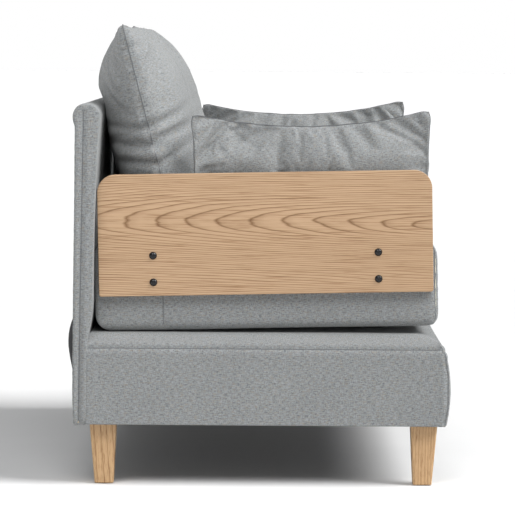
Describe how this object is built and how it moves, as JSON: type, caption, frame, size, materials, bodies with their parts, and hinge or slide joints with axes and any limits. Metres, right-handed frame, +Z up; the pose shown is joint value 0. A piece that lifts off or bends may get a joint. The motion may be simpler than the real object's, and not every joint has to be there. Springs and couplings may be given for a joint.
{
  "type": "sofa",
  "caption": "Compact two-seat sofa: grey woven upholstery, flat wooden side panels bolted to the seat block, square tapered wooden legs, loose back and arm cushions.",
  "frame": {"origin": "on the floor, at the middle of the outline's width and depth", "axes": "+X to the sitter's left across the width, +Y towards the back, -Y the front, +Z up"},
  "size_m": [1.2, 0.7444, 0.8955],
  "materials": {
    "oak_leg": "satin",
    "oak_veneer": "satin",
    "zinc_steel": "satin",
    "black_bolt": "gloss",
    "glide": "matte",
    "grey_weave": "matte",
    "grey_cushion": "matte",
    "foam": "matte",
    "black_cloth": "matte",
    "plywood": "matte",
    "pine": "matte"
  },
  "bodies": {
    "sofa": {"arm_bolts_left": "black_bolt", "arm_bolts_right": "black_bolt", "arm_panel_left": "oak_veneer", "arm_panel_right": "oak_veneer", "back_bolts": "zinc_steel", "back_bottom_rail": "pine", "back_centre_stile": "pine", "back_cover": "grey_weave", "back_foam": "foam", "back_post_left": "pine", "back_post_right": "pine", "back_rear_padding": "foam", "back_top_rail": "pine", "base_centre_beam": "pine", "base_corner_blocks": "pine", "base_cover": "grey_weave", "base_deck": "plywood", "base_dust_cover": "black_cloth", "base_front_foam": "foam", "base_front_rail": "pine", "base_rear_rail": "pine", "base_side_rail_left": "pine", "base_side_rail_right": "pine", "base_top_foam": "foam", "leg_front_left": "oak_leg", "leg_front_right": "oak_leg", "leg_glides": "glide", "leg_hanger_bolts": "zinc_steel", "leg_plates": "zinc_steel", "leg_rear_left": "oak_leg", "leg_rear_right": "oak_leg", "rear_pocket": "black_cloth", "seat_bolts": "zinc_steel", "seat_bottom_board": "plywood", "seat_cover": "grey_weave", "seat_foam": "foam", "seat_front_padding": "foam", "seat_front_rail": "pine", "seat_rear_padding": "foam", "seat_rear_rail": "pine", "seat_side_rail_left": "pine", "seat_side_rail_right": "pine", "seat_spacers": "pine", "seat_springs": "zinc_steel", "spring_clips": "zinc_steel", "tee_nuts": "zinc_steel"},
    "loose_back_left": {"back_cushion_left": "grey_cushion"},
    "loose_back_right": {"back_cushion_right": "grey_cushion"},
    "loose_arm_left": {"arm_cushion_left": "grey_cushion"},
    "loose_arm_right": {"arm_cushion_right": "grey_cushion"}
  },
  "joints": [
    {"name": "lift_back_cushion_left", "type": "slide", "parent": "sofa", "child": "loose_back_left", "axis": [0, 0, 1], "range_m": [0, 0.45]},
    {"name": "lift_back_cushion_right", "type": "slide", "parent": "sofa", "child": "loose_back_right", "axis": [0, 0, 1], "range_m": [0, 0.45]},
    {"name": "lift_arm_cushion_left", "type": "slide", "parent": "sofa", "child": "loose_arm_left", "axis": [0, 0, 1], "range_m": [0, 0.3]},
    {"name": "lift_arm_cushion_right", "type": "slide", "parent": "sofa", "child": "loose_arm_right", "axis": [0, 0, 1], "range_m": [0, 0.3]}
  ]
}
